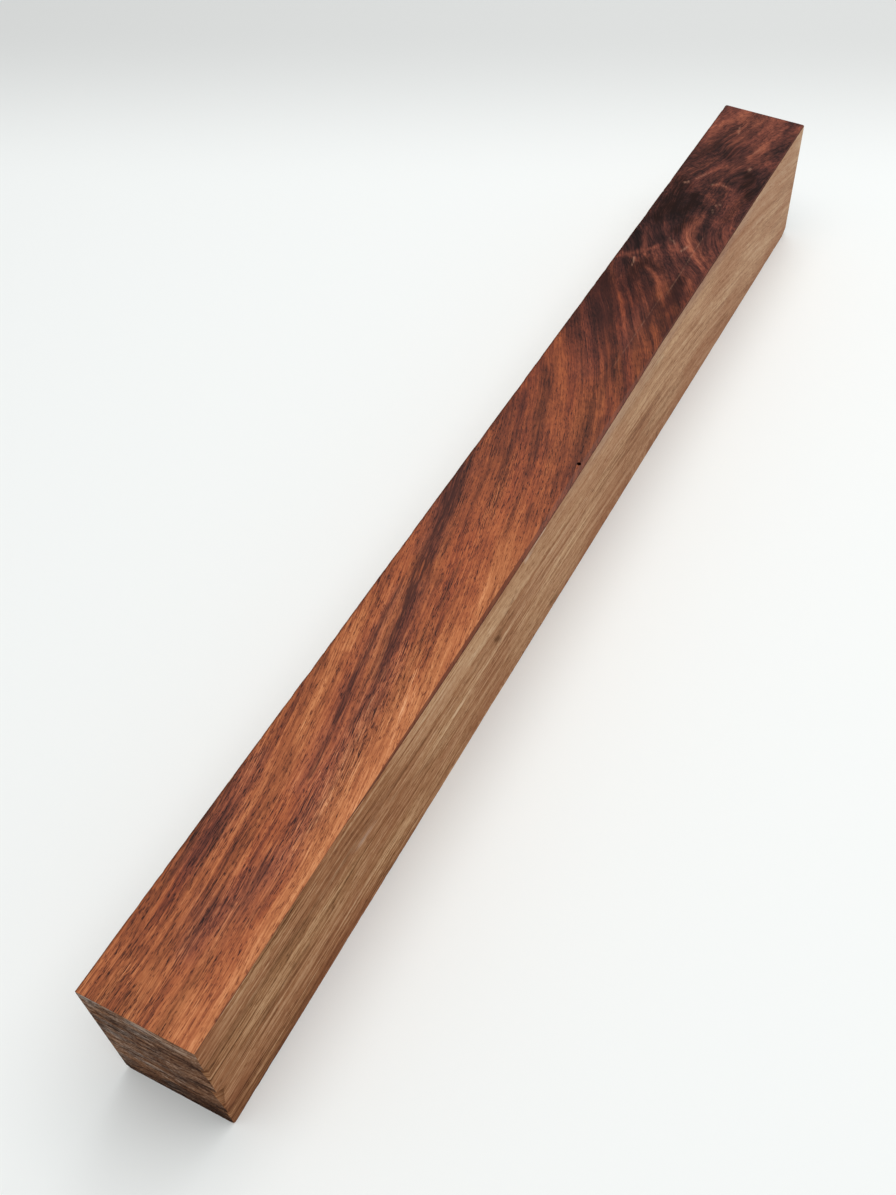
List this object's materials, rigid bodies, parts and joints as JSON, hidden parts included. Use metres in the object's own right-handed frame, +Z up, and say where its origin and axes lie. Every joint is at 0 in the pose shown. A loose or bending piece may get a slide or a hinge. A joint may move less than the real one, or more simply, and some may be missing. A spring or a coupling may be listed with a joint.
{
  "type": "bubinga wood blank",
  "caption": "Square-edged length of bubinga timber, longer than it is deep and deeper than it is wide, planed on its figured top and rough sawn elsewhere, ready to be turned or cut.",
  "frame": {"origin": "middle of the underside, on the surface that the blank rests on", "axes": "+Z up, +X along the length from the plainer end to the figured end, +Y across the width"},
  "size_m": [0.5, 0.0414, 0.06],
  "materials": {
    "bubinga": "bare wood: top planed and slightly satin, sides and ends left matt from the saw"
  },
  "bodies": {
    "root": {"bubinga_blank": "bubinga"}
  },
  "joints": []
}
